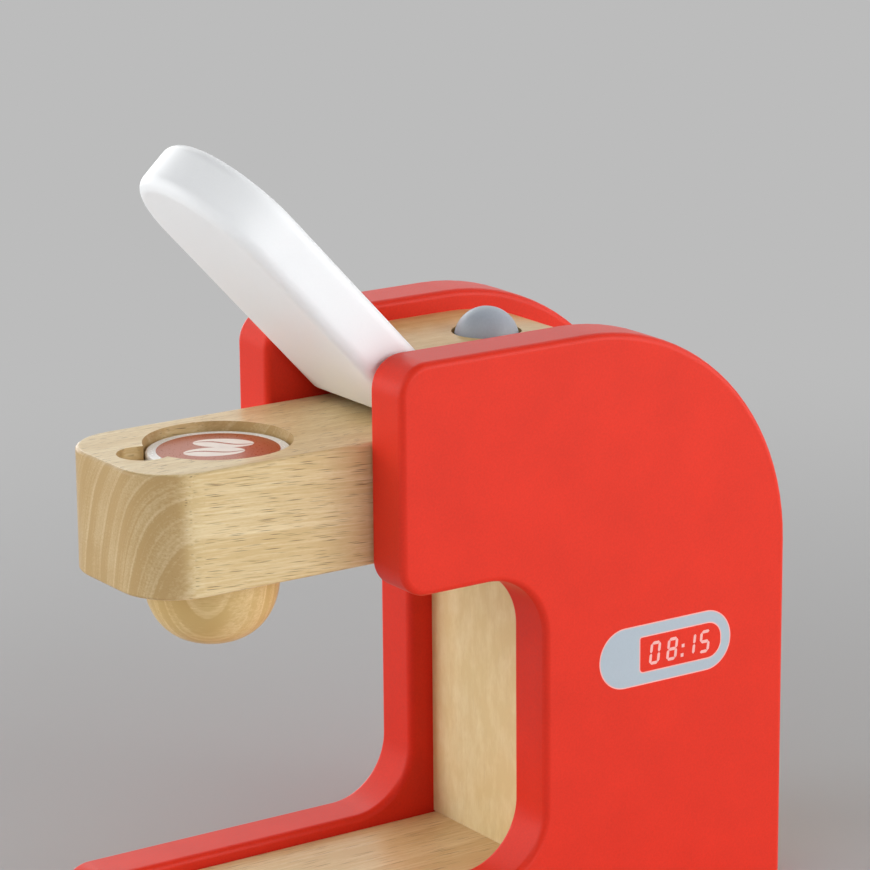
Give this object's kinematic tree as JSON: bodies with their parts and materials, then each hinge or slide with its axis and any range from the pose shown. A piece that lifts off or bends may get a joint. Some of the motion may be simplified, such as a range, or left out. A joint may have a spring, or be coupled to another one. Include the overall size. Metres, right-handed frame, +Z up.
{
  "type": "toy coffee maker",
  "caption": "Wooden toy coffee maker: painted side panels, arm with pod pocket and spout, hinged lid, sprung ball button, base board.",
  "frame": {"origin": "on the table, under the middle of the toy's box", "axes": "+X towards the side with the clock print, +Y towards the back, +Z up"},
  "size_m": [0.091, 0.2166, 0.252],
  "materials": {
    "red_paint": "painted, satin",
    "white_paint": "painted, satin",
    "pod_paint": "painted, with a printed top",
    "button_paint": "painted, satin",
    "beech": "clear matt lacquer",
    "birch": "clear matt lacquer",
    "dowel_wood": "bare",
    "steel": "bright"
  },
  "bodies": {
    "body": {"left_side_panel": "red_paint", "right_side_panel": "red_paint", "bent_cover": "birch", "column_front": "birch", "base_board": "beech", "base_dowels": "dowel_wood", "brew_arm": "beech", "arm_dowels": "dowel_wood", "spout_dome": "beech", "spout_dowel": "dowel_wood", "lid_hinge_pin": "dowel_wood", "lid_stop_bar": "beech", "stop_bar_dowels": "dowel_wood", "button_block": "beech", "block_dowels": "dowel_wood", "stem_cross_pin": "steel", "button_spring": "steel"},
    "lid": {"lid": "white_paint"},
    "button": {"button_ball": "button_paint", "button_stem": "dowel_wood"},
    "pod": {"pod_disc": "pod_paint"}
  },
  "joints": [
    {"name": "lid_hinge", "type": "hinge", "parent": "body", "child": "lid", "pos_m": [0, -0.0154, 0.1756], "axis": [-1, 0, 0], "range_deg": [-48.6, 47]},
    {"name": "button_press", "type": "slide", "parent": "body", "child": "button", "axis": [0, 0, -1], "range_m": [0, 0.0055], "stiffness_N_per_m": 400, "springref_m": -0.003, "deforming": ["button_spring"]},
    {"name": "pod_lift", "type": "slide", "parent": "body", "child": "pod", "axis": [0, 0, 1], "range_m": [0, 0.0025]}
  ]
}
